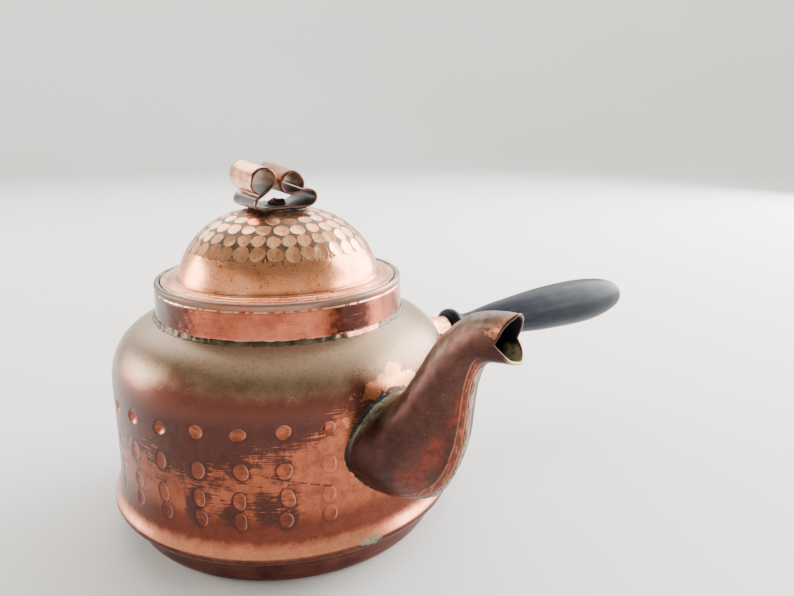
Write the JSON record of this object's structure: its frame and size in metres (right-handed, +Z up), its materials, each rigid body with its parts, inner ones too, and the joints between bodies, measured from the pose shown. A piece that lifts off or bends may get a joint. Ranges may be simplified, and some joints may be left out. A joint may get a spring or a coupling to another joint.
{
  "type": "copper kettle",
  "caption": "Small copper kettle with a lift-off domed lid, a scrolled knob, a swan-neck spout and a turned wooden side handle.",
  "frame": {"origin": "centre of the flat bottom, on the surface that the kettle stands on", "axes": "+Z up, +X level along the spout; the handle points 80 degrees round from the spout, towards +Y"},
  "size_m": [0.1774, 0.2618, 0.1334],
  "materials": {
    "copper_body": "old copper, olive and maroon patina over rubbed orange metal, embossed ovals",
    "copper_foot": "old copper, dark red-brown with pale streaks",
    "copper_collar": "rubbed copper, satin",
    "copper_lid": "bright pink-orange copper, hammered, dark between the hammer marks",
    "copper_knob": "bright copper strip, dark on its inner faces",
    "copper_dark": "dark tarnished copper",
    "copper_spout": "smooth dark brown copper with worn orange patches, tinned inside",
    "solder": "rough grey tin solder with a green bloom",
    "iron": "plain iron wire",
    "black_wood": "turned hardwood, black satin lacquer"
  },
  "bodies": {
    "kettle": {"body_shell": "copper_body", "bottom_pan": "copper_foot", "neck_collar": "copper_collar", "collar_wire": "iron", "collar_solder": "solder", "spout": "copper_spout", "spout_solder": "solder", "handle_socket": "copper_collar", "handle_solder": "solder", "handle_grip": "black_wood", "handle_pin": "iron"},
    "lid": {"lid_dome": "copper_lid", "lid_flange": "copper_lid", "knob_ribbon": "copper_knob", "knob_solder": "solder", "knob_rivet": "copper_dark", "knob_washer": "copper_dark"}
  },
  "joints": [
    {"name": "lid_lift", "type": "slide", "parent": "kettle", "child": "lid", "axis": [0, 0, 1], "range_m": [0, 0.07]}
  ]
}
